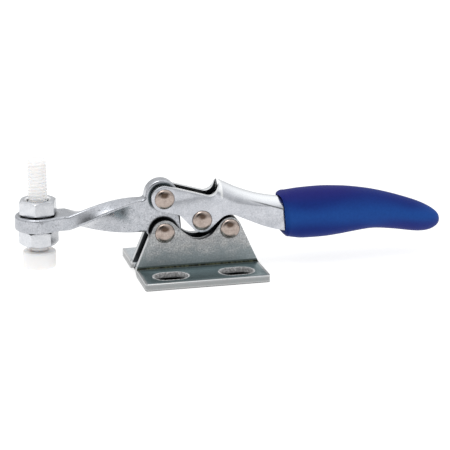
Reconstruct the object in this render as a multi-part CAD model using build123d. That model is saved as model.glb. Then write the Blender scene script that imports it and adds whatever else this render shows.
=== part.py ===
from build123d import *
import os
from math import asin, atan2, cos, hypot, pi, radians, sin

# Small horizontal toggle clamp. Millimetres, +Z up, +X towards the grip, -Y towards the front plates.
# The origin is on the underside of the base, in the middle of its four slots.

# Stock
sheet = 1.5
bar_thickness = 3.0
bar_width = 6.9
side_gap = 0.2
running_gap = 0.05

# Base
base_length = 25.8
flange_width = 9.9
bend_inside = 0.5
edge_round = 0.35
flange_corner = 0.9
pivot_height = 9.0
pivot_spacing = 13.74
arm_ear_radius = 2.65
link_ear_radius = 2.4
dip_radius = 4.0
dip_right_of_middle = 0.45
dip_above_pivots = 2.15
slot_length = 7.0
slot_width = 4.8
slot_offset = 8.6

# Linkage, from the arm pivot at rest
top_pivot_height = 7.15
knee_right = 7.85
knee_height = 2.15
arm_travel = 80.0
handle_turn_per_arm_turn = 1.875
link_lead_when_open = 4.393
pocket_clearance = 0.15
travel_steps = 16

# Rivets
shank_radius = 1.1
head_radius = 2.1
head_height = 0.65

# Clamping arm
arm_eye_height = 3.45
arm_top_ear_radius = 3.4
arm_top_ear_left = 0.2
arm_top_ear_rise = 0.25
bar_round = 0.5
arm_heel_radius = 2.9
arm_toe_radius = 1.2
arm_toe_right = 2.7
neck_blend = 0.8
heel_blend = 0.5
heel_left = 3.8
twist_left = 5.13
twist_length = 14.5
twist_sections = 9
eye_left = 25.43
eye_radius = 4.75
eye_blend = 5.0

# Handle
handle_ear_radius = 2.65
knee_lobe_radius = 2.5
link_recess_radius = 3.0
underside_recess = (1.97, 1.65)
underside_recess_radius = 2.2
notch = (9.57, 9.0)
notch_radius = 1.87
ridge_start = (11.9, 9.9)
ridge_centre = (28.5, 36.3)
ridge_radius = 31.0
ridge_sweep = 34.0
belly_centre = (18.06, 28.0)
belly_radius = 30.0
shank_end = (43.0, -1.3)
shank_end_height = 5.3
pinch_start = 15.0
pinch_per_mm = 0.045

# Grip, each station: distance right of the arm pivot, height above it, half height, half width
grip_start = 24.3
grip_mouth = 24.95
grip_mouth_lean = 8.0
grip_stations = [
    (0.0, 2.0, 4.7, 4.5),
    (2.4, 1.75, 5.1, 4.9),
    (7.5, 1.5, 5.25, 5.1),
    (14.0, 1.6, 5.05, 5.0),
    (19.5, 1.45, 4.6, 4.6),
    (25.0, 0.75, 4.0, 4.2),
    (30.0, -0.45, 3.5, 3.7),
    (33.5, -1.35, 2.95, 3.1),
    (35.6, -1.75, 2.0, 2.2),
    (36.5, -1.8, 0.9, 1.1),
]

# Spindle and nuts
thread_radius = 2.0
bolt_gap = 0.06
spindle_top = 25.6
tip_radius = 3.4
tip_bottom = 2.9
tip_height = 3.5
tip_round = 0.3
thread_chamfer = 0.35
nut_across_flats = 7.0
nut_height = 3.2
nut_chamfer = 0.35
upper_nut_turn = -8.0
lower_nut_turn = -22.8

# Worked out from the sizes above
channel_half = bar_thickness / 2 + side_gap
outside_half = channel_half + sheet
arm_pivot = (-pivot_spacing / 2, pivot_height)
link_pivot = (pivot_spacing / 2, pivot_height)
top_pivot = (arm_pivot[0], pivot_height + top_pivot_height)
knee_pivot = (arm_pivot[0] + knee_right, pivot_height + knee_height)
twist_start = arm_pivot[0] - twist_left
spindle_x = arm_pivot[0] - eye_left
bar_middle = pivot_height + arm_eye_height
bar_top = bar_middle + bar_width / 2
bar_bottom = bar_middle - bar_width / 2
eye_top = bar_middle + bar_thickness / 2
eye_bottom = bar_middle - bar_thickness / 2


def from_arm_pivot(right, above):
    return (arm_pivot[0] + right, arm_pivot[1] + above)


ridge_middle = from_arm_pivot(*ridge_centre)
shank_bottom_end = from_arm_pivot(*shank_end)
shank_top_end = from_arm_pivot(shank_end[0], shank_end[1] + shank_end_height)


def heading_between(first, second):
    """The direction of the straight tangent from one round corner to the next, in radians."""
    across = second[0] - first[0]
    up = second[1] - first[1]
    return atan2(up, across) - asin((second[2] - first[2]) / hypot(across, up))


def rounded_outline(corners):
    """A face whose outline runs counter-clockwise as straight tangents between round corners.

    Each corner is (x, y, radius). A negative radius is a hollow corner and zero is a sharp one.
    """
    tangents = []
    for (x1, y1, r1), (x2, y2, r2) in zip(corners, corners[1:] + corners[:1]):
        heading = heading_between((x1, y1, r1), (x2, y2, r2))
        side_x = -sin(heading)
        side_y = cos(heading)
        start = (x1 - r1 * side_x, y1 - r1 * side_y)
        end = (x2 - r2 * side_x, y2 - r2 * side_y)
        tangents.append((start, end))
    edges = []
    for index, (x, y, radius) in enumerate(corners):
        arrive = tangents[index - 1][1]
        leave = tangents[index][0]
        if radius:
            first = atan2(arrive[1] - y, arrive[0] - x)
            turn = atan2(leave[1] - y, leave[0] - x) - first
            turn = turn % (2 * pi) if radius > 0 else -(-turn % (2 * pi))
            middle = first + turn / 2
            half_way = (x + abs(radius) * cos(middle), y + abs(radius) * sin(middle))
            edges.append(ThreePointArc(arrive, half_way, leave))
        edges.append(Line(*tangents[index]))
    return make_face(edges)


def side_slab(face, low, high):
    """A face drawn in X and Z, made solid from y = low to y = high."""
    return extrude(Plane.XZ.offset(-high) * face, high - low)


def cross_bore(pivot, radius):
    x, z = pivot
    return Pos(x, 0, z) * Rot(90, 0, 0) * Cylinder(radius, 4 * outside_half)


def turned(point, centre, degrees):
    """A point in X and Z, turned anticlockwise as seen from the front."""
    angle = radians(degrees)
    across = point[0] - centre[0]
    up = point[1] - centre[1]
    return (
        centre[0] + across * cos(angle) - up * sin(angle),
        centre[1] + across * sin(angle) + up * cos(angle),
    )


def base_plate():
    """One L of folded sheet: a web with two ears, and a slotted flange. This is the rear one."""
    bend_outside = bend_inside + sheet
    half = base_length / 2
    flange_edge = outside_half + flange_width
    fold = rounded_outline([
        (channel_half + bend_outside, bend_outside, bend_outside),
        (flange_edge - edge_round, edge_round, edge_round),
        (flange_edge - edge_round, sheet - edge_round, edge_round),
        (outside_half + bend_inside, sheet + bend_inside, -bend_inside),
        (outside_half, pivot_height + 2 * arm_ear_radius, 0),
        (channel_half, pivot_height + 2 * arm_ear_radius, 0),
    ])
    strip = extrude(Plane.YZ.offset(-half) * fold, base_length)
    web = rounded_outline([
        (-half, 0, 0),
        (half, 0, 0),
        (half, sheet, 0),
        (*link_pivot, link_ear_radius),
        (dip_right_of_middle, pivot_height + dip_above_pivots, -dip_radius),
        (*arm_pivot, arm_ear_radius),
        (-half, sheet, 0),
    ])
    plan = rounded_outline([
        (-half, 0, 0),
        (half, 0, 0),
        (half - flange_corner, flange_edge - flange_corner, flange_corner),
        (-half + flange_corner, flange_edge - flange_corner, flange_corner),
    ])
    plate = strip & side_slab(web, 0, flange_edge)
    plate &= extrude(plan, 4 * pivot_height)
    slot = SlotOverall(slot_length, slot_width)
    for x in (arm_pivot[0], link_pivot[0]):
        plate -= Pos(x, slot_offset, -sheet) * extrude(slot, 3 * sheet)
    for pivot in (arm_pivot, link_pivot):
        plate -= cross_bore(pivot, shank_radius)
    return plate


def rivet(pivot):
    """A round shank with a low domed head on each side."""
    x, z = pivot
    dome = (head_radius**2 + head_height**2) / (2 * head_height)
    cap = Pos(0, 0, outside_half + head_height - dome) * Sphere(dome)
    cap &= Pos(0, 0, outside_half + head_height / 2) * Cylinder(head_radius, head_height)
    body = Cylinder(shank_radius, 2 * outside_half)
    body += cap
    body += Rot(180, 0, 0) * cap
    return Pos(x, 0, z) * Rot(90, 0, 0) * body


def knee_when(arm_turn):
    """Where the knee rivet is once the arm has opened by arm_turn degrees."""
    top = turned(top_pivot, arm_pivot, -arm_turn)
    knee = (top[0] + knee_pivot[0] - top_pivot[0], top[1] + knee_pivot[1] - top_pivot[1])
    return turned(knee, top, arm_turn * (handle_turn_per_arm_turn - 1))


def bearing(point):
    """The direction of a point from the link pivot, in degrees."""
    return atan2(point[1] - link_pivot[1], point[0] - link_pivot[0]) * 180 / pi


def link_plate(low):
    """One of two equal straps side by side. Its knee end is an open hook round the rivet.

    The strap turns evenly with the arm and the rivet does not, so the hook leaves the rivet its path.
    """
    strap = rounded_outline([(*knee_pivot, link_ear_radius), (*link_pivot, link_ear_radius)])
    plate = side_slab(strap, low, low + bar_thickness / 2)
    plate -= cross_bore(link_pivot, shank_radius + running_gap)
    link_travel = bearing(knee_when(0)) - bearing(knee_when(arm_travel)) + link_lead_when_open
    places = []
    for step in range(travel_steps + 1):
        share = step / travel_steps
        places.append(turned(knee_when(arm_travel * share), link_pivot, link_travel * share))
    rings = [Pos(*place) * Circle(shank_radius + pocket_clearance) for place in places]
    hollow = make_hull(Sketch(children=rings).edges())
    return plate - side_slab(hollow, -bar_thickness, bar_thickness)


def twisted_section(share):
    """The bar's section, turned a quarter turn about its length as share goes from 0 to 1."""
    x = twist_start - twist_length * share
    section = RectangleRounded(bar_width, bar_thickness, bar_round)
    return Pos(x, 0, bar_middle) * Rot(90 * share, 0, 0) * Rot(0, -90, 0) * section


def clamp_arm():
    """A flat bar on edge at its pivots, twisted a quarter turn to a level eye."""
    heel_x = arm_pivot[0] - heel_left
    ear_x = top_pivot[0] - arm_top_ear_left
    neck_x = ear_x - arm_top_ear_radius - neck_blend
    flat = rounded_outline([
        (twist_start, bar_bottom, 0),
        (heel_x, bar_bottom - heel_blend, -heel_blend),
        (*arm_pivot, arm_heel_radius),
        (arm_pivot[0] + arm_toe_right, pivot_height, arm_toe_radius),
        (ear_x, top_pivot[1] + arm_top_ear_rise, arm_top_ear_radius),
        (neck_x, bar_top + neck_blend, -neck_blend),
        (twist_start, bar_top, 0),
    ])
    arm = side_slab(flat, -bar_thickness / 2, bar_thickness / 2)
    rim = [e for e in arm.edges() if abs(abs(e.center().Y) - bar_thickness / 2) < 0.01]
    rim = [e for e in rim if e.center().X > twist_start + 0.01]
    arm = fillet(rim, bar_round)
    sections = [twisted_section(n / (twist_sections - 1)) for n in range(twist_sections)]
    arm += loft(sections)
    half = bar_width / 2
    twist_end = twist_start - twist_length
    blend_y = half + eye_blend
    blend_x = spindle_x + ((eye_radius + eye_blend) ** 2 - blend_y**2) ** 0.5 + 0.1
    level = rounded_outline([
        (twist_end, half, 0),
        (blend_x, blend_y, -eye_blend),
        (spindle_x, 0, eye_radius),
        (blend_x, -blend_y, -eye_blend),
        (twist_end, -half, 0),
    ])
    eye = extrude(Plane.XY.offset(eye_bottom) * level, bar_thickness)
    rim = [e for e in eye.edges() if abs(abs(e.center().Z - bar_middle) - bar_thickness / 2) < 0.01]
    rim = [e for e in rim if e.center().X < twist_end - 0.01]
    arm += fillet(rim, bar_round)
    for pivot in (arm_pivot, top_pivot):
        arm -= cross_bore(pivot, shank_radius + running_gap)
    return arm - Pos(spindle_x, 0, bar_middle) * Cylinder(thread_radius + bolt_gap, 2 * bar_thickness)


def handle_outline():
    return rounded_outline([
        (*top_pivot, handle_ear_radius),
        (*from_arm_pivot(*underside_recess), -underside_recess_radius),
        (*knee_pivot, knee_lobe_radius),
        (*link_pivot, -link_recess_radius),
        (link_pivot[0] + belly_centre[0], link_pivot[1] + belly_centre[1], belly_radius),
        (*shank_bottom_end, 0),
        (*shank_top_end, 0),
        (*ridge_middle, -ridge_radius),
        (*from_arm_pivot(*ridge_start), 0),
        (*from_arm_pivot(*notch), -notch_radius),
    ])


def along_ridge(profile):
    """A profile in Y and Z, carried along the shank and then up the hollow curve of the ridge."""
    shank_slope = pi - heading_between((*shank_top_end, 0), (*ridge_middle, -ridge_radius))
    axis = Axis((ridge_middle[0], 0, ridge_middle[1]), (0, 1, 0))
    start = (Plane.YZ.offset(ridge_middle[0]) * profile).rotate(axis, shank_slope * 180 / pi)
    curve = revolve(start, axis, ridge_sweep)
    straight = extrude(start, amount=shank_end[0], dir=(cos(shank_slope), 0, -sin(shank_slope)))
    return curve + straight


def pinch(face):
    """What lies outside both side plates below the ridge, where they close in towards the grip.

    Each plate leaves its straight line at pinch_start, with its surface at y = face until there.
    """
    x = arm_pivot[0] + pinch_start
    reach = shank_end[0]
    depth = reach * pinch_per_mm
    taper = make_face(Polyline((x, face), (x + reach, face - depth), (x + reach, face), close=True))
    side = extrude(taper, 4 * pivot_height)
    bead = Pos(0, ridge_middle[1] - ridge_radius - outside_half) * Circle(outside_half)
    side -= along_ridge(bead)
    return side + mirror(side, Plane.XZ)


def handle():
    """One folded channel: two shaped side plates that a rounded ridge joins behind the notch."""
    body = side_slab(handle_outline(), -outside_half, outside_half)
    body -= pinch(outside_half)
    crown = ridge_middle[1] - ridge_radius
    shoulders = Pos(0, crown) * Rectangle(3 * outside_half, 2 * outside_half)
    shoulders -= Pos(0, crown - outside_half) * Circle(outside_half)
    shoulders -= Pos(0, crown - 2 * outside_half) * Rectangle(4 * outside_half, 2 * outside_half)
    body -= along_ridge(shoulders)
    inside_crown = crown - sheet - channel_half
    hollow = Pos(0, inside_crown) * Circle(channel_half)
    hollow += Pos(0, inside_crown - ridge_radius / 2) * Rectangle(2 * channel_half, ridge_radius)
    body -= along_ridge(hollow) - pinch(channel_half)
    roof_start = from_arm_pivot(*ridge_start)
    open_front = Box(
        2 * roof_start[1], 2 * channel_half, 4 * roof_start[1], align=(Align.MAX, Align.CENTER, Align.CENTER)
    )
    body -= Pos(roof_start[0], 0, 0) * open_front
    for pivot in (top_pivot, knee_pivot):
        body -= cross_bore(pivot, shank_radius)
    return body


def grip():
    """A soft moulded sleeve over the handle's shank, closed at its far end."""
    sections = []
    for right, above, half_height, half_width in grip_stations:
        x, z = from_arm_pivot(grip_start + right, above)
        sections.append(Plane.YZ.offset(x) * Pos(0, z) * Ellipse(half_width, half_height))
    mouth = from_arm_pivot(grip_mouth, grip_stations[0][1])
    beyond_mouth = Box(
        grip_start, 4 * outside_half, 2 * grip_start, align=(Align.MAX, Align.CENTER, Align.CENTER)
    )
    sleeve = loft(sections) - Pos(mouth[0], 0, mouth[1]) * Rot(0, grip_mouth_lean, 0) * beyond_mouth
    shank = side_slab(handle_outline(), -outside_half, outside_half) - pinch(outside_half)
    return sleeve - shank


def spindle():
    """A plain round stud with a larger flat-ended tip, all one piece."""
    x = spindle_x
    tip_top = tip_bottom + tip_height
    tip = Pos(x, 0, tip_bottom) * extrude(Circle(tip_radius), tip_height)
    tip = fillet(tip.edges().filter_by(GeomType.CIRCLE), tip_round)
    stud = Pos(x, 0, tip_top) * extrude(Circle(thread_radius), spindle_top - tip_top)
    stud = chamfer(stud.edges().filter_by(GeomType.CIRCLE).group_by(Axis.Z)[-1], thread_chamfer)
    return tip + stud


def nut(bottom, turn):
    """A hexagon nut round the spindle, its corners chamfered on both faces."""
    corner_radius = nut_across_flats / 2 / cos(pi / 6)
    blank = extrude(RegularPolygon(corner_radius, 6, rotation=turn - 90), nut_height)
    turned_blank = extrude(Circle(corner_radius), nut_height)
    rims = turned_blank.edges().filter_by(GeomType.CIRCLE)
    body = blank & chamfer(rims, nut_chamfer * cos(pi / 6) / 2, nut_chamfer)
    body -= Cylinder(thread_radius + bolt_gap, 4 * nut_height)
    return Pos(spindle_x, 0, bottom) * body


def save(shape, name):
    export_step(shape, os.path.join("parts", name + ".step"))


if __name__ == "__main__":
    os.makedirs("parts", exist_ok=True)
    rear = base_plate()
    save(rear, "base_plate_rear")
    save(mirror(rear, Plane.XZ), "base_plate_front")
    save(clamp_arm(), "clamp_arm")
    save(handle(), "handle")
    save(link_plate(-bar_thickness / 2), "link_front")
    save(link_plate(0), "link_rear")
    save(grip(), "grip")
    save(spindle(), "spindle")
    save(nut(eye_top, upper_nut_turn), "upper_nut")
    save(nut(eye_bottom - nut_height, lower_nut_turn), "lower_nut")
    save(rivet(arm_pivot), "arm_pivot_rivet")
    save(rivet(link_pivot), "link_pivot_rivet")
    save(rivet(top_pivot), "handle_arm_rivet")
    save(rivet(knee_pivot), "handle_link_rivet")
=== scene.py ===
from math import copysign, cos, pi, radians, sin, tan

import bmesh
import bpy
from mathutils import Matrix, Vector


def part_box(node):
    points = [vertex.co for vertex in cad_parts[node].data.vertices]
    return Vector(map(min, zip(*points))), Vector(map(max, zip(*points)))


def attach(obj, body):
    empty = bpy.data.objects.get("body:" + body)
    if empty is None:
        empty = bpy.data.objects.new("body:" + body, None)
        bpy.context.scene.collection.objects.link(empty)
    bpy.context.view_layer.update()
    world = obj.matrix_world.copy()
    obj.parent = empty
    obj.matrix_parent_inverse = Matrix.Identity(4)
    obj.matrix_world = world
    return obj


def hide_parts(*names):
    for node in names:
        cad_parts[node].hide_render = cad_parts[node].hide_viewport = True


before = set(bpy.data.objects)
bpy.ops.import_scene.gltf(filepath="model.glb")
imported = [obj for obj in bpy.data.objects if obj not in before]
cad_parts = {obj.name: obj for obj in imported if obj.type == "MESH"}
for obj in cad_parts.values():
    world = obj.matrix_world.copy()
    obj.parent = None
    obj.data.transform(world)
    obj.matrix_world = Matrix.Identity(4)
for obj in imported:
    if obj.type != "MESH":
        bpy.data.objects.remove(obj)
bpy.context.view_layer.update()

MM = 0.001

# Camera: an eye point, and in degrees a heading to the right of +Y and a downward tilt
EYE = Vector((-74.83, -324.12, 106.17)) * MM
HEADING = 14.1
DOWNWARD = 16.23
LENS = 133.8
SENSOR = 36.0


def middle(node):
    low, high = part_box(node)
    return (low + high) / 2


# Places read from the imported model
ARM_PIVOT = middle("arm_pivot_rivet")
LINK_PIVOT = middle("link_pivot_rivet")
TOP_PIVOT = middle("handle_arm_rivet")
KNEE_PIVOT = middle("handle_link_rivet")
SPINDLE_LOW, SPINDLE_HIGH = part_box("spindle")
SPINDLE_X = (SPINDLE_LOW.x + SPINDLE_HIGH.x) / 2
BASE_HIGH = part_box("base_plate_rear")[1]
HEAD_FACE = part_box("arm_pivot_rivet")[1].y

# The folded sheet: its faces' distance from the middle plane, its thickness and its broken edges
WEB_FACE = 3.2 * MM
WEB_INSIDE = 1.7 * MM
SHEET = WEB_FACE - WEB_INSIDE
BASE_EDGE = 0.22 * MM
HANDLE_EDGE = 0.26 * MM

# The base's slots: half the straight run, the distance of their middle line, and their end radius
SLOT_RUN = 1.1 * MM
SLOT_LINE = 8.6 * MM
SLOT_RADIUS = 2.4 * MM

# The crease under the handle's bead: a point of it in X and Z, its fall, and how the plates close in
CREASE = Vector((18.27, 0, 12.34)) * MM
CREASE_FALL = 0.318
CREASE_STEP = 0.14 * MM
PINCH_START = ARM_PIVOT.x + 15 * MM
PINCH_PER_METRE = 0.045

# The spindle, in mm: its thread, how the stud meets tip and end, and its tip
THREAD_RADIUS = 1.98
THREAD_DEPTH = 0.26
THREAD_PITCH = 0.7
THREAD_AROUND = 49
THREAD_ALONG = 440
STUD_SUNK = 0.2
STUD_CAP = 0.25
TIP_RADIUS = 3.4
TIP_HEIGHT = 3.5
TIP_FOOT_BLEND = 0.4
TIP_TOP_BLEND = 0.35
SPINDLE_STEPS = 48

# The nuts: half across flats, the circle left flat on each face, bore and countersink
NUT_FLAT = 3.5 * MM
NUT_FACE = 3.36 * MM
NUT_SLOPE = tan(radians(30))
NUT_BORE = 2.06 * MM
NUT_SINK = 2.68 * MM
NUT_SINK_DEPTH = 0.35 * MM
NUT_EDGE = 0.06 * MM
NUT_STEPS = 120
UPPER_NUT_TURN = radians(-15.6)
LOWER_NUT_TURN = radians(-31.0)

# A rivet's head in mm: radius, and depth below its highest face. Then its foot and shank
HEAD = [
    (0, 0.045), (0.1, 0.045), (0.2, 0.012), (0.8, 0.02), (1.15, 0.045), (1.4, 0.09),
    (1.58, 0.145), (1.74, 0.215), (1.87, 0.3), (1.97, 0.4), (2.04, 0.5),
]
HEAD_WIDEST = (2.06, 0.1)
HEAD_FOOT = 2.0
SHANK_RADIUS = 1.0
RIVET_STEPS = 64

# Sleeve sections in mm: x, middle height, half height, half width
SLEEVE = [
    (19.7, 10.62, 4.90, 4.62),
    (21.2, 10.55, 5.12, 4.85),
    (23.0, 10.51, 5.31, 5.02),
    (27.4, 10.56, 5.37, 5.10),
    (31.0, 10.60, 5.13, 5.00),
    (34.0, 10.62, 4.80, 4.80),
    (38.4, 10.42, 4.22, 4.50),
    (43.0, 9.57, 3.84, 4.15),
    (47.7, 8.37, 3.44, 3.70),
    (50.0, 7.80, 3.04, 3.20),
    (51.7, 7.45, 2.46, 2.62),
    (52.9, 7.28, 1.76, 1.88),
    (53.6, 7.20, 1.02, 1.10),
    (53.9, 7.18, 0.0, 0.0),
]
# The lip, and the two sections inside it where the sleeve hugs the steel
MOUTH = (18.2, 10.85, 3.95, 3.3)
LIP_ROOT = (18.75, 11.0, 3.15, 2.75)
SLEEVE_INSIDE = (20.5, 10.9, 2.9, 2.4)
MOUTH_LEAN = 0.085
BODY_LEAN_SHARE = 0.25
SIDE_SETBACK = 0.45
# How square a section is: 2 is an ellipse
ELLIPSE = 2.0
OVAL = 2.2
LIP_SQUARENESS = 3.6
BOXED = 4.0
SLEEVE_STEPS = 72
LIP_RINGS = 9
BODY_RINGS = 70


# ---------------------------------------------------------------- node trees


class Socket:
    """One output of a node, which takes part in sums with numbers and other outputs."""

    def __init__(self, graph, output):
        self.graph = graph
        self.output = output

    def __add__(self, other):
        return self.graph.math("ADD", self, other)

    __radd__ = __add__

    def __sub__(self, other):
        return self.graph.math("SUBTRACT", self, other)

    def __rsub__(self, other):
        return self.graph.math("SUBTRACT", other, self)

    def __mul__(self, other):
        return self.graph.math("MULTIPLY", self, other)

    __rmul__ = __mul__

    def __truediv__(self, other):
        return self.graph.math("DIVIDE", self, other)

    def __abs__(self):
        return self.graph.math("ABSOLUTE", self)


class Graph:
    """A node tree built in code."""

    tree = None

    def node(self, kind, settings=None, sockets=None, output=0):
        made = self.tree.nodes.new(kind)
        for key, value in (settings or {}).items():
            setattr(made, key, value)
        for key, value in (sockets or {}).items():
            self.feed(made.inputs[key], value)
        return Socket(self, made.outputs[output])

    def feed(self, entry, value):
        if isinstance(value, Socket):
            self.tree.links.new(value.output, entry)
        else:
            entry.default_value = value

    def math(self, operation, first, second=0.0):
        return self.node("ShaderNodeMath", {"operation": operation}, {0: first, 1: second})

    def split(self, vector):
        first = self.node("ShaderNodeSeparateXYZ", {}, {"Vector": vector})
        return [Socket(self, output) for output in first.output.node.outputs]

    def join(self, x, y, z):
        return self.node("ShaderNodeCombineXYZ", {}, {"X": x, "Y": y, "Z": z})

    def ramp(self, value, low, high, first=0.0, last=1.0):
        """Goes smoothly from first to last as value goes from low to high."""
        settings = {"interpolation_type": "SMOOTHSTEP"}
        sockets = {"Value": value, "From Min": low, "From Max": high, "To Min": first, "To Max": last}
        return self.node("ShaderNodeMapRange", settings, sockets)

    def distance(self, *offsets):
        total = 0.0
        for offset in offsets:
            total = offset * offset + total
        return self.math("SQRT", total)


class Shader(Graph):
    """A material with one Principled surface, painted in the object's own coordinates."""

    def __init__(self, name):
        self.material = bpy.data.materials.new(name)
        self.material.use_nodes = True
        self.tree = self.material.node_tree
        self.surface = self.tree.nodes["Principled BSDF"]
        self.place = self.node("ShaderNodeTexCoord", output="Object")
        self.x, self.y, self.z = self.split(self.place)
        self.facing = self.split(self.node("ShaderNodeTexCoord", output="Normal"))

    def set(self, **sockets):
        for key, value in sockets.items():
            self.feed(self.surface.inputs[key.replace("_", " ")], value)

    def noise(self, size, detail=2.0, roughness=0.5, stretch=(1, 1, 1), shift=0.0):
        """Clouds of about the given size in mm."""
        settings = {"Vector": self.place, "Scale": stretch, "Location": (shift,) * 3}
        where = self.node("ShaderNodeMapping", {}, settings)
        sockets = {"Vector": where, "Scale": 1 / (size * MM), "Detail": detail, "Roughness": roughness}
        return self.node("ShaderNodeTexNoise", {}, sockets)

    def blend(self, share, first, second):
        sockets = {0: share, 6: first, 7: second}
        return self.node("ShaderNodeMix", {"data_type": "RGBA"}, sockets, output=2)

    def grey(self, level):
        return self.join(level, level, level)

    def dim(self, colour, share):
        """A colour times a number."""
        settings = {"data_type": "RGBA", "blend_type": "MULTIPLY"}
        return self.node("ShaderNodeMix", settings, {0: 1.0, 6: colour, 7: self.grey(share)}, output=2)

    def crevice_shaded(self, colour, reach, darkest):
        """Painted shade: darkens a colour in crevices, where pieces meet or a form folds, over a reach in
        mm.
        """
        sockets = {"Distance": reach * MM}
        open_share = self.node("ShaderNodeAmbientOcclusion", {"samples": 8}, sockets, "AO")
        return self.dim(colour, self.ramp(open_share, 0.35, 0.85, darkest, 1.0))

    def bump(self, height, distance, strength):
        sockets = {"Height": height, "Distance": distance * MM, "Strength": strength}
        return self.node("ShaderNodeBump", {}, sockets)

    def between(self, value, low, high, soft):
        """1 where value lies between low and high, fading over soft inside each end."""
        return self.ramp(value, low, low + soft) * self.ramp(value, high - soft, high, 1.0, 0.0)

    def ring(self, centre, inner, outer):
        """0 inside a circle about a cross pin, and 1 outside it."""
        away = self.distance(self.x - centre.x, self.z - centre.z)
        return self.ramp(away, inner, outer)


def rgba(red, green, blue):
    return (red, green, blue, 1.0)


def grey(level):
    return rgba(level, level, level)


# ---------------------------------------------------------------- materials


def plated(name, light, dark, roughness, speckle, cloud_size=1.6, grain_size=0.32):
    """Zinc plate: cloudy patches, a fine speckle and a grain. Gives the shader, colour and grain."""
    shader = Shader(name)
    cloud = shader.noise(cloud_size, 3.0, 0.6)
    grain = shader.noise(grain_size, 3.0, 0.7)
    colour = shader.blend(shader.ramp(cloud, 0.3, 0.7), dark, light)
    colour = shader.dim(colour, shader.ramp(grain, 0.25, 0.75, 1 - speckle, 1 + speckle))
    shader.set(
        Metallic=1.0,
        Roughness=shader.ramp(grain, 0.3, 0.7, roughness + 0.08, roughness - 0.06),
        Normal=shader.bump(grain, 0.012, 0.8),
    )
    return shader, colour, grain


def toward_the_bend(shader, colour, grain):
    """Painted shade: the web darkens downwards in ragged clouds. Painted reflection: the flange's top is
    greenish in front, pale behind.
    """
    ragged = shader.noise(3.0, 3.0, 0.6, (1, 1, 2.2), 0.3)
    height = shader.z + (ragged - 0.5) * (7 * MM)
    # painted shade, darker towards the bend
    darker_low = shader.ramp(height, 7.5 * MM, 2.6 * MM)
    colour = shader.blend(darker_low, colour, rgba(0.235, 0.27, 0.28))
    # painted reflection on the flange's top
    top = shader.ramp(shader.z, 1.75 * MM, 1.55 * MM)
    behind = top * shader.ramp(shader.y, -1 * MM, 1 * MM)
    colour = shader.blend(top, colour, rgba(0.29, 0.375, 0.39))
    colour = shader.blend(behind, colour, rgba(0.56, 0.59, 0.61))
    return shader.dim(colour, shader.ramp(grain, 0.3, 0.7, 0.86, 1.14))


def flange_edge(shader, colour, patchiness):
    """Painted highlights on the edges all round the flange, in patches, duller along their middle."""
    rim = 0.62 * MM
    across = shader.ramp(abs(shader.y), BASE_HIGH.y - rim, BASE_HIGH.y - 0.6 * rim)
    along_x = shader.ramp(abs(shader.x), BASE_HIGH.x - rim, BASE_HIGH.x - 0.6 * rim)
    low = shader.ramp(shader.z, 2.0 * MM, 1.7 * MM)
    # painted highlight along the flange's edge faces, varied in patches
    edge = shader.math("MAXIMUM", across, along_x) * low * shader.ramp(patchiness, 0.1, 0.6, 0.5, 0.95)
    level = shader.ramp(abs(shader.z - 0.8 * MM), 0.25 * MM, 0.6 * MM, 0.31, 0.58)
    return shader.blend(edge, colour, shader.grey(level))


def slot_walls(shader):
    """Masks of the bare metal round and down the slots, and of the painted shadow at the foot of their
    walls.
    """
    off_x = shader.math("MAXIMUM", abs(abs(shader.x) - LINK_PIVOT.x) - SLOT_RUN, 0.0)
    from_rim = shader.distance(off_x, abs(shader.y) - SLOT_LINE) - SLOT_RADIUS
    lip = shader.between(from_rim, -0.3 * MM, 0.42 * MM, 0.16 * MM)
    raised = shader.ramp(shader.z, 0.25 * MM, 0.62 * MM)
    return lip * raised, lip * (1 - raised)


def web_edge(shader, colour):
    """The web's cut edge: painted highlight low down, painted shade higher up. Its inside is dark with
    painted shadow.
    """
    depth = abs(shader.y)
    cut = shader.between(depth, WEB_INSIDE + 0.02 * MM, WEB_FACE - BASE_EDGE, 0.06 * MM)
    cut = cut * shader.ramp(shader.z, 2.0 * MM, 2.3 * MM)
    shaded_high = shader.ramp(shader.z, 7.6 * MM, 9.0 * MM)
    # painted highlight on the lower cut edge, painted shade on the upper
    colour = shader.blend(cut * (1 - shaded_high), colour, rgba(0.56, 0.57, 0.58))
    colour = shader.blend(cut * shaded_high, colour, rgba(0.012, 0.013, 0.013))
    # painted shadow on the web's inside face
    inside = shader.ramp(depth, WEB_INSIDE + 0.05 * MM, WEB_INSIDE)
    return shader.blend(inside, colour, rgba(0.05, 0.055, 0.06))


def bend_line(shader, colour):
    """Painted shade: a dark line along the inner bend, darkest in a dotted seam low in it. Gives colour
    and mask.
    """
    bend = shader.between(abs(shader.y), WEB_FACE - 0.08 * MM, WEB_FACE + 0.56 * MM, 0.06 * MM)
    bend = bend * shader.between(shader.z, SHEET - 0.1 * MM, SHEET + 0.72 * MM, 0.12 * MM)
    colour = shader.blend(bend, colour, rgba(0.075, 0.095, 0.092))
    # painted shade, darkest and dotted low in the crease
    seam = bend * shader.between(shader.z, SHEET + 0.02 * MM, SHEET + 0.4 * MM, 0.08 * MM)
    dots = shader.noise(0.7, 2.0, 0.7, (1, 0.3, 0.3), 1.7)
    seam_black = rgba(0.006, 0.007, 0.004)
    seam_olive = rgba(0.06, 0.066, 0.035)
    seam_shade = shader.blend(shader.ramp(dots, 0.4, 0.6), seam_black, seam_olive)
    return shader.blend(seam, colour, seam_shade), bend


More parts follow.
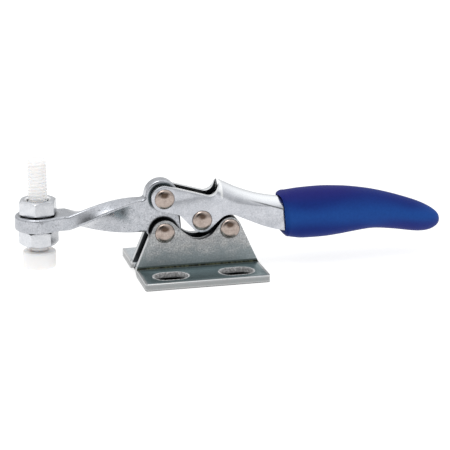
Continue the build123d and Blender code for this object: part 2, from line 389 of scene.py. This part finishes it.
def sheet_zinc():
    """Folded sheet: painted shade, darker and greenish towards the bend; painted highlights at cut edges;
    bare bright grey round the slots.
    """
    light = rgba(0.455, 0.455, 0.45)
    dark = rgba(0.36, 0.37, 0.38)
    shader, colour, grain = plated("sheet_zinc", light, dark, 0.36, 0.28)
    patchiness = shader.noise(0.55, 2.0, 0.7, shift=0.9)
    colour = toward_the_bend(shader, colour, grain)
    colour = flange_edge(shader, colour, patchiness)
    bare, foot = slot_walls(shader)
    # painted shadow at the foot of the slot walls
    colour = shader.blend(foot, colour, grey(0.01))
    colour = web_edge(shader, colour)
    colour, bend = bend_line(shader, colour)
    # painted shade in crevices
    colour = shader.crevice_shaded(colour, 0.6, 0.12)
    rough_cut = shader.grey(shader.ramp(patchiness, 0.3, 0.7, 0.26, 0.72))
    shader.set(
        Base_Color=shader.blend(bare, colour, rough_cut),
        # the bend's painted dark line is non-metal, so it shows no highlight
        Metallic=1 - shader.math("MAXIMUM", bend, bare),
        Specular_IOR_Level=0.1,
    )
    return shader.material


def bar_zinc():
    """The arm's bar: bright, with painted shade where it lies behind the handle and beside the web's ear.
    """
    light = rgba(0.50, 0.51, 0.54)
    dark = rgba(0.42, 0.435, 0.465)
    shader, colour, _ = plated("bar_zinc", light, dark, 0.27, 0.15)
    flat = shader.ramp(abs(shader.y), 1.15 * MM, 1.45 * MM)
    flat = flat * shader.ramp(shader.x, -12.0 * MM, -11.0 * MM)
    right = shader.x - TOP_PIVOT.x
    up = shader.z - TOP_PIVOT.z
    under_handle = shader.ring(TOP_PIVOT, 2.95 * MM, 3.3 * MM)
    left_side = shader.ramp(right + up * 0.3, 3.0 * MM, 2.0 * MM)
    above = shader.ramp(up - right * 0.5, -2.2 * MM, 0.2 * MM)
    # painted shade on the bar round the handle's ear
    shade_by_handle = flat * (1 - under_handle) * left_side * above
    colour = shader.blend(shade_by_handle, colour, rgba(0.075, 0.095, 0.105))
    # painted shadow on the bar above the web's ear
    shade_by_web = flat * (1 - shader.ring(ARM_PIVOT, 3.0 * MM, 3.3 * MM))
    colour = shader.blend(shade_by_web, colour, rgba(0.02, 0.022, 0.024))
    specks = shader.noise(0.5, 1.0, 0.5, shift=4.0)
    colour = shader.dim(colour, shader.ramp(specks, 0.27, 0.36, 0.6, 1.0))
    # painted shade in crevices
    shader.set(Base_Color=shader.crevice_shaded(colour, 1.3, 0.05))
    return shader.material


def handle_rim(shader, colour, front):
    """Painted highlights: bright cut edges in front of the ridge, and white on the rolled lip where the
    ridge starts.
    """
    depth = abs(shader.y)
    cut = shader.between(depth, WEB_INSIDE + 0.02 * MM, WEB_FACE - 0.6 * HANDLE_EDGE, 0.08 * MM)
    colour = shader.blend(cut * front, colour, rgba(0.86, 0.87, 0.88))
    hook = shader.between(shader.x, 4.8 * MM, 5.5 * MM, 0.2 * MM)
    hook = hook * shader.ramp(shader.z, 15.2 * MM, 16.6 * MM)
    return shader.blend(hook, colour, rgba(0.93, 0.935, 0.94))


def crease_line(shader, colour):
    """Painted shadow: a dark line in the crease under the bead, growing stronger towards the grip."""
    off_crease = abs(shader.z - CREASE.z - (CREASE.x - shader.x) * CREASE_FALL)
    line = shader.ramp(off_crease, 0.24 * MM, 0.05 * MM) * shader.ramp(shader.x, 9.5 * MM, 15 * MM)
    line = line * shader.ramp(abs(shader.y), 2.2 * MM, 2.6 * MM)
    return shader.blend(line * 0.85, colour, rgba(0.10, 0.105, 0.11))


def handle_zinc():
    """The handle's sheet: painted highlights on faces turned up and at its cut edges, painted shade on
    faces turned down and between its plates.
    """
    light = rgba(0.56, 0.57, 0.605)
    dark = rgba(0.48, 0.495, 0.53)
    shader, colour, _ = plated("handle_zinc", light, dark, 0.22, 0.12)
    streak = shader.noise(2.2, 2.0, 0.6, (0.25, 1, 1), 2.0)
    colour = shader.dim(colour, shader.ramp(streak, 0.3, 0.75, 0.92, 1.05))
    # painted highlight on faces turned upwards
    crown = shader.ramp(shader.facing[2], 0.35, 0.85)
    colour = shader.blend(crown, colour, rgba(0.86, 0.875, 0.895))
    front = shader.ramp(shader.x, 4.98 * MM, 4.86 * MM)
    colour = handle_rim(shader, colour, front)
    # painted shade on faces turned downwards
    under = shader.ramp(shader.facing[2], -0.15, -0.5)
    colour = shader.blend(under, colour, rgba(0.06, 0.063, 0.066))
    colour = crease_line(shader, colour)
    # painted shadow between the plates
    inside = shader.ramp(abs(shader.y), WEB_INSIDE + 0.05 * MM, WEB_INSIDE)
    below = shader.ramp(shader.z, 15.4 * MM, 15.0 * MM) * shader.ramp(shader.facing[2], 0.2, 0.0)
    inside = inside * shader.math("MAXIMUM", front, below)
    colour = shader.blend(inside, colour, rgba(0.006, 0.007, 0.008))
    # painted shade in crevices
    shader.set(Base_Color=shader.crevice_shaded(colour, 0.45, 0.15), Metallic=1 - inside * 0.8)
    return shader.material


def rivet_steel():
    """Formed rivet heads: warm, with a painted dark-brown reflection above the middle of each head."""
    light = rgba(0.46, 0.385, 0.345)
    dark = rgba(0.36, 0.295, 0.26)
    shader, colour, _ = plated("rivet_steel", light, dark, 0.22, 0.1, 0.9, 0.22)
    spot_noise = shader.noise(0.8, 2.0, 0.6, shift=6.0)
    for pin in (ARM_PIVOT, LINK_PIVOT, TOP_PIVOT, KNEE_PIVOT):
        # painted reflection: a dark-brown spot above the head's middle, ragged at its edge
        across = (shader.x - pin.x + 0.1 * MM) / (0.95 * MM)
        up = (shader.z - pin.z - 0.95 * MM) / (0.62 * MM)
        dark_reflection = shader.distance(across, up) + (spot_noise - 0.5) * 0.7
        dark_reflection = shader.ramp(dark_reflection, 0.45, 1.35, 0.9, 0.0)
        colour = shader.blend(dark_reflection, colour, rgba(0.055, 0.03, 0.016))
    # painted shade in crevices
    shader.set(Base_Color=shader.crevice_shaded(colour, 0.5, 0.12))
    return shader.material


def nut_zinc():
    """Bright nuts: painted shade on faces turned to the right and in the bores; pale countersinks."""
    light = rgba(0.70, 0.71, 0.735)
    dark = rgba(0.62, 0.635, 0.665)
    shader, colour, _ = plated("nut_zinc", light, dark, 0.2, 0.06, 1.2, 0.25)
    # painted shade, darker on faces turned to the right
    colour = shader.dim(colour, shader.ramp(shader.facing[0], -0.6, 0.9, 1.0, 0.68))
    away = shader.distance(shader.x - SPINDLE_X, shader.y)
    countersink = shader.ramp(away, 2.72 * MM, 2.6 * MM)
    colour = shader.blend(countersink, colour, rgba(0.92, 0.92, 0.93))
    # painted shade in the bores
    bore = shader.ramp(away, 2.2 * MM, 2.1 * MM)
    colour = shader.blend(bore, colour, rgba(0.10, 0.10, 0.105))
    # painted shade in crevices
    shader.set(Base_Color=shader.crevice_shaded(colour, 0.7, 0.1))
    return shader.material


def nylon():
    """Natural nylon: milky, a little light passing through, faint clouding."""
    shader = Shader("natural_nylon")
    cloud = shader.noise(1.4, 2.0)
    fine = shader.noise(0.25, 2.0, 0.6)
    colour = shader.blend(cloud, rgba(0.84, 0.825, 0.82), rgba(0.90, 0.89, 0.885))
    shader.set(
        Base_Color=colour,
        Roughness=shader.ramp(fine, 0.3, 0.7, 0.36, 0.5),
        Subsurface_Weight=1.0,
        Subsurface_Radius=(1.0, 0.92, 0.85),
        Subsurface_Scale=2.5 * MM,
        Normal=shader.bump(fine, 0.01, 0.6),
    )
    return shader.material


def vinyl():
    """Dipped vinyl: satin, a fine pebble, a painted sheen along its side and a painted purplish reflection
    at top and heel.
    """
    shader = Shader("blue_vinyl")
    cloud = shader.noise(7, 2.0, 0.5, (0.5, 1, 1))
    pebble = shader.noise(0.45, 3.0, 0.6)
    # painted sheen: lighter blue along a line on the side
    side_line = 10.8 * MM - shader.ramp(shader.x, 32 * MM, 53 * MM, 0.0, 2.6 * MM)
    above_line = shader.z - side_line
    off_line = abs(above_line) + (cloud - 0.5) * (3.5 * MM)
    lit_blue = rgba(0.013, 0.062, 0.27)
    deep_blue = rgba(0.009, 0.024, 0.165)
    colour = shader.blend(shader.ramp(off_line, 0.2 * MM, 3.6 * MM), lit_blue, deep_blue)
    # painted reflection: purplish at the heel and along the top
    heel = shader.ramp(shader.x, 36 * MM, 46 * MM) * shader.ramp(above_line, 0.2 * MM, -1.6 * MM)
    crown = shader.ramp(above_line, 2.6 * MM, 4.6 * MM) * shader.ramp(shader.x, 40 * MM, 30 * MM)
    purple = shader.math("MAXIMUM", heel, crown) * 0.5
    colour = shader.blend(purple, colour, rgba(0.022, 0.013, 0.135))
    colour = shader.dim(colour, shader.ramp(pebble, 0.3, 0.7, 0.95, 1.05))
    shader.set(
        Base_Color=colour,
        Roughness=shader.ramp(pebble, 0.3, 0.7, 0.40, 0.48),
        Specular_IOR_Level=0.05,
        Normal=shader.bump(pebble, 0.008, 0.7),
    )
    return shader.material


SHEET_ZINC = sheet_zinc()
BAR_ZINC = bar_zinc()
HANDLE_ZINC = handle_zinc()
RIVET_STEEL = rivet_steel()
NUT_ZINC = nut_zinc()
NYLON = nylon()
VINYL = vinyl()


# ---------------------------------------------------------------- mesh helpers


def new_piece(name, mesh, material):
    piece = bpy.data.objects.new(name, mesh)
    bpy.context.scene.collection.objects.link(piece)
    mesh.materials.clear()
    mesh.materials.append(material)
    return piece


def bake(piece):
    """Turns a piece's modifiers into its plain mesh."""
    evaluated = piece.evaluated_get(bpy.context.evaluated_depsgraph_get())
    mesh = bpy.data.meshes.new_from_object(evaluated)
    piece.modifiers.clear()
    piece.data = mesh


def settle(piece, body, slot, *nodes):
    """Hands a piece to its body and hides the nodes it stands for. Its slot is not used."""
    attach(piece, body)
    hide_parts(*nodes)


def smooth(mesh, angle):
    """Shades a mesh smooth, but for edges sharper than the angle in degrees."""
    mesh.shade_smooth()
    mesh.set_sharp_from_angle(angle=radians(angle))


def bevelled(piece, width, angle=32.0):
    """Breaks the edges that are sharper than the angle in degrees."""
    edge = piece.modifiers.new("edge", "BEVEL")
    edge.limit_method = "ANGLE"
    edge.angle_limit = radians(angle)
    edge.width = width
    edge.segments = 2
    bake(piece)
    smooth(piece.data, 40)


def skin(rings, wrap=False):
    """A bmesh of quads between closed rings of equal length. A ring of one point closes an end."""
    work = bmesh.new()
    rows = [[work.verts.new(point) for point in ring] for ring in rings]
    pairs = list(zip(rows, rows[1:]))
    if wrap:
        pairs.append((rows[-1], rows[0]))
    for first, second in pairs:
        count = max(len(first), len(second))
        for n in range(count):
            corners = [first[n % len(first)], first[(n + 1) % len(first)]]
            corners += [second[(n + 1) % len(second)], second[n % len(second)]]
            work.faces.new(list(dict.fromkeys(corners)))
    bmesh.ops.recalc_face_normals(work, faces=work.faces)
    return work


def to_mesh(work, name):
    mesh = bpy.data.meshes.new(name)
    work.to_mesh(mesh)
    work.free()
    return mesh


def circle(radius, height, steps):
    """Points round Z at a height, or the one point on the axis where the radius is 0."""
    if not radius:
        return [(0, 0, height)]
    angles = [2 * pi * n / steps for n in range(steps)]
    return [(radius * cos(a), radius * sin(a), height) for a in angles]


def lathe(profile, steps):
    """A turned form from a profile of radius and height in mm."""
    return skin([circle(radius * MM, height * MM, steps) for radius, height in profile])


def quarter_round(radius, height, blend, start):
    """Profile points of a quarter circle about a middle, from a start in degrees."""
    angles = [radians(start + turned) for turned in range(0, 91, 15)]
    return [(radius + blend * cos(a), height + blend * sin(a)) for a in angles]


# ---------------------------------------------------------------- geometry node trees


class Geometry(Graph):
    """A Geometry Nodes tree with named inputs."""

    def __init__(self, name, **inputs):
        self.tree = bpy.data.node_groups.new(name, "GeometryNodeTree")
        self.add_input("Geometry", "Geometry")
        for key, kind in inputs.items():
            self.add_input(key, kind)
        self.tree.interface.new_socket("Geometry", in_out="OUTPUT", socket_type="NodeSocketGeometry")
        self.source = self.tree.nodes.new("NodeGroupInput")

    def add_input(self, key, kind):
        self.tree.interface.new_socket(key, in_out="INPUT", socket_type="NodeSocket" + kind)

    def given(self, key):
        return Socket(self, self.source.outputs[key])

    def finish(self, geometry):
        """Ends the tree in real geometry with its material."""
        real = self.node("GeometryNodeRealizeInstances", {}, {0: geometry})
        sockets = {"Geometry": real, "Material": self.given("Material")}
        dressed = self.node("GeometryNodeSetMaterial", {}, sockets)
        result = self.tree.nodes.new("NodeGroupOutput")
        self.feed(result.inputs[0], dressed)

    def grow(self, piece, **values):
        """Runs the tree on a piece and bakes the result into the piece's mesh."""
        modifier = piece.modifiers.new("grow", "NODES")
        modifier.node_group = self.tree
        for item in self.tree.interface.items_tree:
            if item.in_out == "INPUT" and item.name in values:
                modifier[item.identifier] = values[item.name]
        bake(piece)


def thread_tree():
    """A sheet of points wrapped round an axis, its radius following a screw thread."""
    g = Geometry(
        "screw_thread", Radius="Float", Depth="Float", Pitch="Float", Length="Float",
        Around="Int", Along="Int", Material="Material",
    )
    length = g.given("Length")
    pitch = g.given("Pitch")
    sizes = {"Size X": 1.0, "Size Y": 1.0, "Vertices X": g.given("Around"), "Vertices Y": g.given("Along")}
    grid = g.node("GeometryNodeMeshGrid", {}, sizes)
    across, up, _ = g.split(g.node("GeometryNodeInputPosition"))
    share = across + 0.5
    height = (up + 0.5) * length
    turns = g.math("FRACT", height / pitch - share)
    ridge = 1 - abs(turns * 2 - 1)
    crest = g.ramp(ridge, 0.08, 0.86)
    run_out = g.ramp(height, length, length - pitch * 1.1)
    lead_in = g.ramp(height, 0.0, pitch * 1.2)
    radius = g.given("Radius") - g.given("Depth") * (1 - crest * run_out * lead_in)
    angle = share * (2 * pi)
    place = g.join(radius * g.math("COSINE", angle), radius * g.math("SINE", angle), height)
    wrapped = g.node("GeometryNodeSetPosition", {}, {"Geometry": grid, "Position": place})
    sockets = {"Geometry": wrapped, "Distance": 0.001 * MM}
    g.finish(g.node("GeometryNodeMergeByDistance", {}, sockets))
    return g


def rivet_tree():
    """One rivet on each point, each turned about its own axis by a seeded random angle."""
    g = Geometry("rivets", Rivet="Object", Seed="Int", Material="Material")
    sockets = {"Object": g.given("Rivet"), "As Instance": True}
    rivet = g.node("GeometryNodeObjectInfo", {}, sockets, "Geometry")
    turn = g.node("FunctionNodeRandomValue", {}, {2: -pi, 3: pi, "Seed": g.given("Seed")}, 1)
    sockets = {"Points": g.given("Geometry"), "Instance": rivet, "Rotation": g.join(0.0, turn, 0.0)}
    g.finish(g.node("GeometryNodeInstanceOnPoints", {}, sockets))
    return g


# ---------------------------------------------------------------- pieces


def press_crease(work):
    """Sets the handle's side plates back below the crease, so that the bead stands out above it."""
    normal = Vector((CREASE_FALL, 0, 1)).normalized()
    for drop in (0.0, CREASE_STEP):
        place = CREASE - normal * drop
        everything = work.verts[:] + work.edges[:] + work.faces[:]
        bmesh.ops.bisect_plane(work, geom=everything, plane_co=place, plane_no=normal, dist=0.001 * MM)
    for vert in work.verts:
        if (vert.co - place).dot(normal) < 0.002 * MM and vert.co.x > PINCH_START:
            limit = WEB_FACE - (vert.co.x - PINCH_START) * PINCH_PER_METRE
            vert.co.y = max(-limit, min(limit, vert.co.y))


def eased_copy(node, body, material, slot, edge, press=None):
    """A merged copy of a pressed piece with its sharp edges broken."""
    work = bmesh.new()
    work.from_mesh(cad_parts[node].data)
    bmesh.ops.remove_doubles(work, verts=work.verts, dist=0.002 * MM)
    bmesh.ops.dissolve_limit(work, angle_limit=radians(0.5), verts=work.verts, edges=work.edges)
    if press:
        press(work)
    piece = new_piece(node + "_finished", to_mesh(work, node), material)
    bevelled(piece, edge)
    settle(piece, body, slot, node)


def carried_over(node, material):
    """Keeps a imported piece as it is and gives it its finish."""
    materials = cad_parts[node].data.materials
    materials.clear()
    materials.append(material)


def stud(start, end):
    """The threaded stud, grown by its node tree, as a bmesh standing on the axis."""
    piece = new_piece("stud_pattern", bpy.data.meshes.new("stud"), NYLON)
    thread_tree().grow(
        piece, Radius=THREAD_RADIUS * MM, Depth=THREAD_DEPTH * MM, Pitch=THREAD_PITCH * MM,
        Length=(end - start) * MM, Around=THREAD_AROUND, Along=THREAD_ALONG, Material=NYLON,
    )
    work = bmesh.new()
    work.from_mesh(piece.data)
    bmesh.ops.translate(work, verts=work.verts, vec=(0, 0, start * MM))
    bpy.data.objects.remove(piece)
    return work


def spindle():
    """A threaded nylon stud with a flat-ended tip."""
    low = SPINDLE_LOW.z / MM
    high = SPINDLE_HIGH.z / MM
    tip_top = low + TIP_HEIGHT
    stud_end = high - STUD_CAP
    core = THREAD_RADIUS - THREAD_DEPTH
    cap = [(core, stud_end), (core - 0.12, high - 0.1), (core - 0.35, high), (0, high)]
    foot = [(0, low + 0.08), (2.4, low + 0.08), (2.7, low)]
    foot += quarter_round(TIP_RADIUS - TIP_FOOT_BLEND, low + TIP_FOOT_BLEND, TIP_FOOT_BLEND, -90)
    foot += quarter_round(TIP_RADIUS - TIP_TOP_BLEND, tip_top - TIP_TOP_BLEND, TIP_TOP_BLEND, 0)
    foot += [(core + 0.3, tip_top), (core, tip_top + 0.15)]
    whole = stud(tip_top - STUD_SUNK, stud_end)
    for profile in (cap, foot):
        whole.from_mesh(to_mesh(lathe(profile, SPINDLE_STEPS), "end"))
    bmesh.ops.remove_doubles(whole, verts=whole.verts, dist=0.004 * MM)
    bmesh.ops.translate(whole, verts=whole.verts, vec=(SPINDLE_X, 0, 0))
    bmesh.ops.recalc_face_normals(whole, faces=whole.faces)
    piece = new_piece("spindle_threaded", to_mesh(whole, "spindle"), NYLON)
    smooth(piece.data, 50)
    settle(piece, "spindle", "white_nylon", "spindle")


def nut(node, turn):
    """A hexagon nut: cone-chamfered corners on both faces and a countersunk bore."""
    low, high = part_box(node)
    height = high.z - low.z
    angles = [2 * pi * n / NUT_STEPS for n in range(NUT_STEPS)]
    reach = [NUT_FLAT / cos((a + pi / 6) % (pi / 3) - pi / 6) for a in angles]
    drop = [max(0.0, r - NUT_FACE) * NUT_SLOPE for r in reach]

    def ring(radii, heights):
        return [
            (SPINDLE_X + r * cos(a + turn), r * sin(a + turn), low.z + z)
            for r, z, a in zip(radii, heights, angles)
        ]

    def level(radius, z):
        return ring([radius] * NUT_STEPS, [z] * NUT_STEPS)

    work = skin([
        level(NUT_FACE, 0.0),
        ring(reach, drop),
        ring(reach, [height - d for d in drop]),
        level(NUT_FACE, height),
        level(NUT_SINK, height),
        level(NUT_BORE, height - NUT_SINK_DEPTH),
        level(NUT_BORE, NUT_SINK_DEPTH),
        level(NUT_SINK, 0.0),
    ], wrap=True)
    piece = new_piece(node + "_finished", to_mesh(work, node), NUT_ZINC)
    bevelled(piece, NUT_EDGE, 26)
    settle(piece, node, "zinc_nut", node)


def rivet_pattern():
    """One rivet along Y. Each head is nearly flat, with a rounded shoulder and a fine forming ring."""
    face = HEAD_FACE / MM
    root = WEB_FACE / MM
    half = [(radius, face - depth) for radius, depth in HEAD]
    half += [(HEAD_WIDEST[0], root + HEAD_WIDEST[1]), (HEAD_FOOT, root)]
    half += [(SHANK_RADIUS, root), (SHANK_RADIUS, 0)]
    profile = half + [(radius, -height) for radius, height in half[:-1][::-1]]
    pattern = new_piece("rivet_pattern", to_mesh(lathe(profile, RIVET_STEPS), "rivet"), RIVET_STEEL)
    pattern.data.transform(Matrix.Rotation(pi / 2, 4, "X"))
    smooth(pattern.data, 50)
    return pattern


def rivets():
    """Two rivets on the base and two on the handle."""
    pattern = rivet_pattern()
    tree = rivet_tree()
    for body, seed, nodes in (
        ("base", 3, ("arm_pivot_rivet", "link_pivot_rivet")),
        ("handle", 8, ("handle_arm_rivet", "handle_link_rivet")),
    ):
        mesh = bpy.data.meshes.new(body)
        mesh.from_pydata([middle(node) for node in nodes], [], [])
        piece = new_piece(body + "_rivets", mesh, RIVET_STEEL)
        tree.grow(piece, Rivet=pattern, Seed=seed, Material=RIVET_STEEL)
        settle(piece, body, "rivet_steel", *nodes)
    bpy.data.objects.remove(pattern)


def along(stations, share):
    """A smooth curve through the stations, share going from 0 to 1."""
    spot = share * (len(stations) - 1)
    n = min(int(spot), len(stations) - 2)
    t = spot - n
    a = stations[max(n - 1, 0)]
    b = stations[n]
    c = stations[n + 1]
    d = stations[min(n + 2, len(stations) - 1)]
    return [
        q + 0.5 * t * (r - p + t * (2 * p - 5 * q + 4 * r - s + t * (3 * (q - r) + s - p)))
        for p, q, r, s in zip(a, b, c, d)
    ]


def sleeve_ring(x, height, half_height, half_width, squareness, lean, setback=0.0):
    """A squared oval across the sleeve. It leans, and its flat sides may be set back."""
    power = 2 / squareness
    points = []
    for n in range(SLEEVE_STEPS):
        a = 2 * pi * n / SLEEVE_STEPS
        side = copysign(abs(cos(a)) ** power, cos(a))
        z = half_height * copysign(abs(sin(a)) ** power, sin(a))
        place = x - lean * z + setback * side * side
        points.append((place * MM, half_width * side * MM, (height + z) * MM))
    return points


def lip_rings():
    """From inside the mouth, over the lip and out to the sleeve's first section."""
    rings = [
        sleeve_ring(*SLEEVE_INSIDE, BOXED, 0.0),
        sleeve_ring(*LIP_ROOT, BOXED, MOUTH_LEAN, SIDE_SETBACK),
    ]
    for n in range(LIP_RINGS):
        share = n / LIP_RINGS
        fade = 1 - share
        swell = 1 - fade ** 1.7
        sizes = [m + (f - m) * s for m, f, s in zip(MOUTH, SLEEVE[0], (share, swell, swell, swell))]
        squareness = OVAL + (LIP_SQUARENESS - OVAL) * fade
        lean = MOUTH_LEAN * (BODY_LEAN_SHARE + (1 - BODY_LEAN_SHARE) * fade)
        rings.append(sleeve_ring(*sizes, squareness, lean, SIDE_SETBACK * fade))
    return rings


def body_rings():
    """Along the sleeve's sections to the point that closes its end."""
    rings = []
    for n in range(BODY_RINGS):
        share = (n / BODY_RINGS) ** 0.9
        squareness = OVAL - (OVAL - ELLIPSE) * min(1, share * 2)
        lean = MOUTH_LEAN * BODY_LEAN_SHARE * max(0.0, 1 - share * 4)
        rings.append(sleeve_ring(*along(SLEEVE, share), squareness, lean))
    end = SLEEVE[-1]
    rings.append([(end[0] * MM, 0, end[1] * MM)])
    return rings


def grip():
    """A dipped sleeve, its lip hugging the boxed steel and swelling to an oval."""
    work = skin(lip_rings() + body_rings())
    piece = new_piece("grip_sleeve", to_mesh(work, "grip"), VINYL)
    smooth(piece.data, 70)
    settle(piece, "handle", "blue_vinyl", "grip")


eased_copy("base_plate_front", "base", SHEET_ZINC, "zinc_sheet", BASE_EDGE)
eased_copy("base_plate_rear", "base", SHEET_ZINC, "zinc_sheet", BASE_EDGE)
eased_copy("handle", "handle", HANDLE_ZINC, "zinc_handle", HANDLE_EDGE, press_crease)
carried_over("clamp_arm", BAR_ZINC)
carried_over("link_front", SHEET_ZINC)
carried_over("link_rear", SHEET_ZINC)
spindle()
nut("upper_nut", UPPER_NUT_TURN)
nut("lower_nut", LOWER_NUT_TURN)
rivets()
grip()


# ---------------------------------------------------------------- floor, light and camera


def floor():
    """A wide pale floor that glows evenly, dark only under the base, where no light gets."""
    far = 6.0
    corners = [(-far, -far, 0), (far, -far, 0), (far, far, 0), (-far, far, 0)]
    mesh = bpy.data.meshes.new("floor")
    mesh.from_pydata(corners, [], [(0, 1, 2, 3)])
    shader = Shader("pale_floor")
    inner = 0.9 * MM
    outer = 0.4 * MM
    out_x = shader.ramp(abs(shader.x), BASE_HIGH.x - inner, BASE_HIGH.x - outer)
    out_y = shader.ramp(abs(shader.y), BASE_HIGH.y - inner, BASE_HIGH.y - outer)
    lit = shader.math("MAXIMUM", out_x, out_y)
    shader.set(
        Base_Color=shader.blend(lit, grey(0.01), grey(0.36)),
        Roughness=1.0,
        Specular_IOR_Level=0.0,
        Emission_Color=shader.blend(lit, grey(0.0), grey(1.0)),
        Emission_Strength=0.78,
    )
    new_piece("floor", mesh, shader.material)


def softbox(name, place, aim, size, power):
    """A soft rectangular lamp, turned to what it lights."""
    data = bpy.data.lights.new(name, "AREA")
    data.shape = "RECTANGLE"
    data.size = size[0]
    data.size_y = size[1]
    data.energy = power
    lamp = bpy.data.objects.new(name, data)
    bpy.context.scene.collection.objects.link(lamp)
    lamp.location = place
    lamp.rotation_euler = (Vector(aim) - Vector(place)).to_track_quat("-Z", "Y").to_euler()


class World(Graph):
    """A room's light, as a background node tree."""

    def __init__(self, name):
        self.world = bpy.data.worlds.new(name)
        self.world.use_nodes = True
        self.tree = self.world.node_tree
        self.surface = self.tree.nodes["Background"]


def studio():
    """A white room, a little dimmer low down behind, with one dark patch in front and above."""
    room = World("studio")
    east, north, up = room.split(room.node("ShaderNodeTexCoord", output="Generated"))
    overhead = room.ramp(up, 0.2, 0.8)
    behind = room.ramp(north, -0.2, 0.6)
    low = 0.75 - behind * 0.05
    strength = low * (1 - overhead) + overhead * 1.15
    patch = Vector((-0.22, -0.86, 0.47)).normalized()
    off_patch = room.distance(east - patch.x, north - patch.y, up - patch.z)
    strength = strength * room.ramp(off_patch, 0.2, 0.55, 0.02, 1.0)
    room.feed(room.surface.inputs["Color"], rgba(0.98, 0.99, 1.0))
    room.feed(room.surface.inputs["Strength"], strength)
    bpy.context.scene.world = room.world
    softbox("top_light", (-0.15, -0.15, 0.6), (0, 0, 0), (0.35, 0.30), 0.9)


def camera():
    data = bpy.data.cameras.new("camera")
    data.lens = LENS
    data.sensor_width = SENSOR
    data.clip_start = 0.01
    data.clip_end = 20.0
    piece = bpy.data.objects.new("camera", data)
    bpy.context.scene.collection.objects.link(piece)
    piece.location = EYE
    piece.rotation_euler = (radians(90 - DOWNWARD), 0, radians(-HEADING))
    bpy.context.scene.camera = piece


floor()
studio()
camera()
bpy.context.scene.view_settings.view_transform = "Standard"
